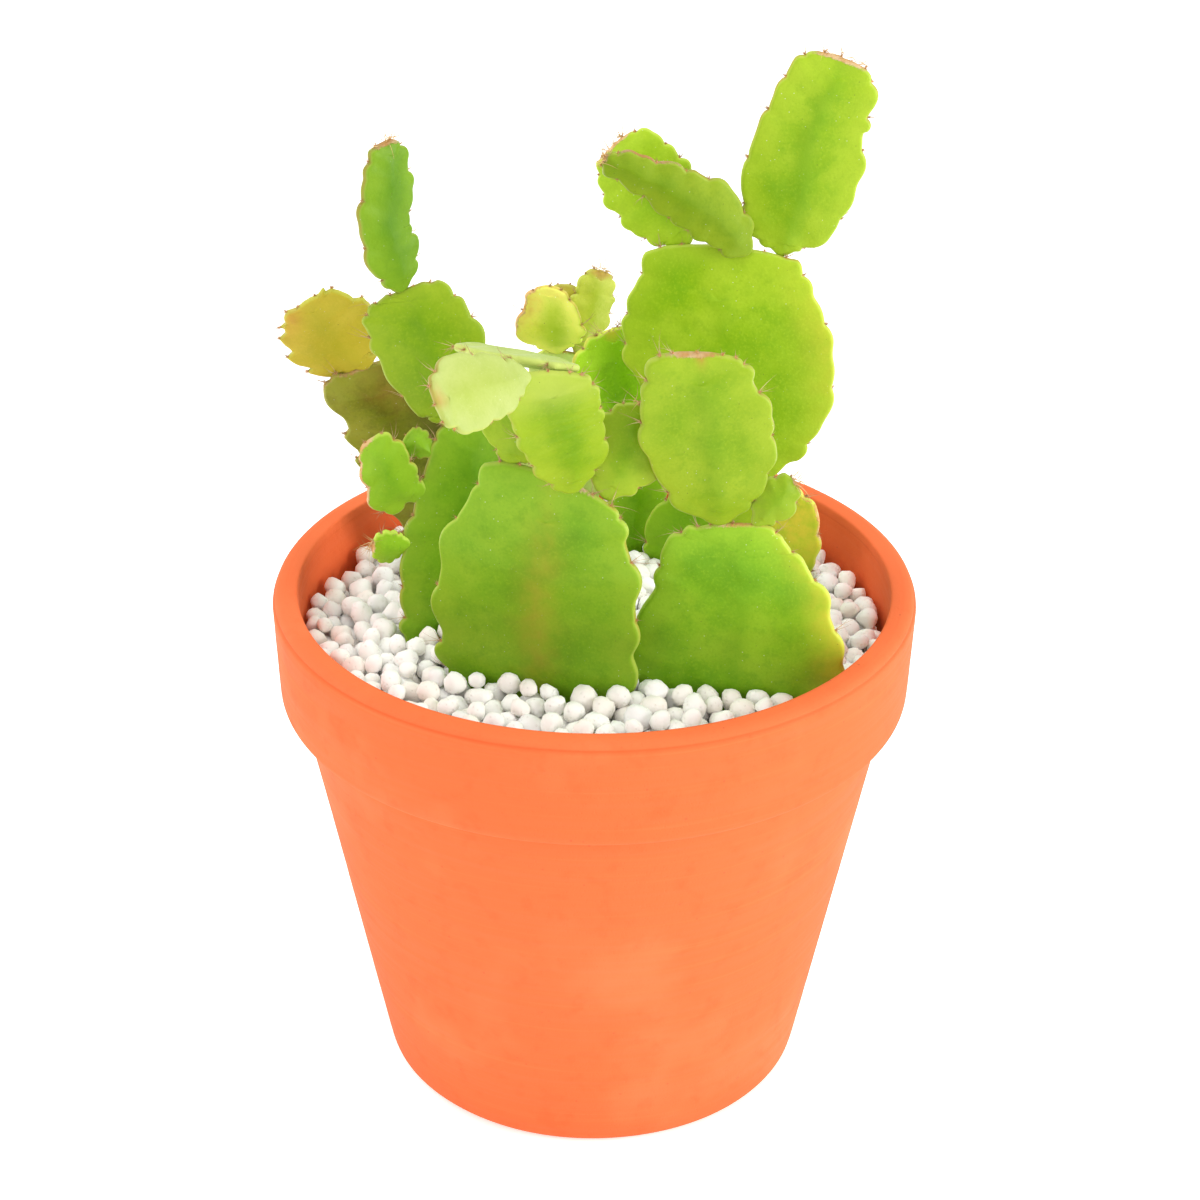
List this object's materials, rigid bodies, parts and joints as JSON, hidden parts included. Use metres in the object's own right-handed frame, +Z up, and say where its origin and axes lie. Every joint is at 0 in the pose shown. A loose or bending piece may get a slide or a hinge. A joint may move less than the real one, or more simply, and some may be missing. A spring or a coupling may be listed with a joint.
{
  "type": "potted paddle cactus",
  "caption": "Young paddle cactus of flat scalloped green pads growing from one another, in a round tapered clay pot topped with white pebbles.",
  "frame": {"origin": "centre of the pot's underside, on the surface it stands on", "axes": "+Z up the pot's axis, -Y towards the plant's show side, +X to the right seen from there"},
  "size_m": [0.105, 0.105, 0.1721],
  "materials": {
    "fired_clay": "matte",
    "potting_soil": "matte",
    "white_pebble": "matte",
    "leaf_green_pad": "satin",
    "lime_green_pad": "satin",
    "deep_green_pad": "satin",
    "pale_green_pad": "satin",
    "olive_old_stem": "satin",
    "ochre_pad": "satin",
    "gold_green_pad": "satin",
    "areole_wool": "matte"
  },
  "bodies": {
    "root": {"pot": "fired_clay", "soil": "potting_soil", "pebble_bed": "white_pebble", "front_left_pad": "leaf_green_pad", "front_left_rear_pad": "lime_green_pad", "front_left_upper_pad": "lime_green_pad", "front_left_side_pad": "lime_green_pad", "front_drooping_pad": "pale_green_pad", "front_level_pad": "pale_green_pad", "front_right_pad": "leaf_green_pad", "front_right_upper_pad": "lime_green_pad", "front_right_bud": "lime_green_pad", "tall_root_pad": "deep_green_pad", "tall_middle_pad": "lime_green_pad", "tall_right_tip_pad": "lime_green_pad", "tall_twisted_pad": "lime_green_pad", "tall_left_tip_pad": "lime_green_pad", "centre_root_pad": "deep_green_pad", "centre_upper_pad": "deep_green_pad", "left_root_pad": "leaf_green_pad", "left_round_bud": "leaf_green_pad", "left_side_pad": "leaf_green_pad", "left_low_bud": "leaf_green_pad", "left_upper_pad": "lime_green_pad", "left_tip_pad": "leaf_green_pad", "old_stem_pad": "olive_old_stem", "ochre_pad": "ochre_pad", "back_root_pad": "pale_green_pad", "back_curled_pad": "gold_green_pad", "back_tip_pad": "gold_green_pad", "back_flap_pad": "gold_green_pad"}
  },
  "joints": []
}
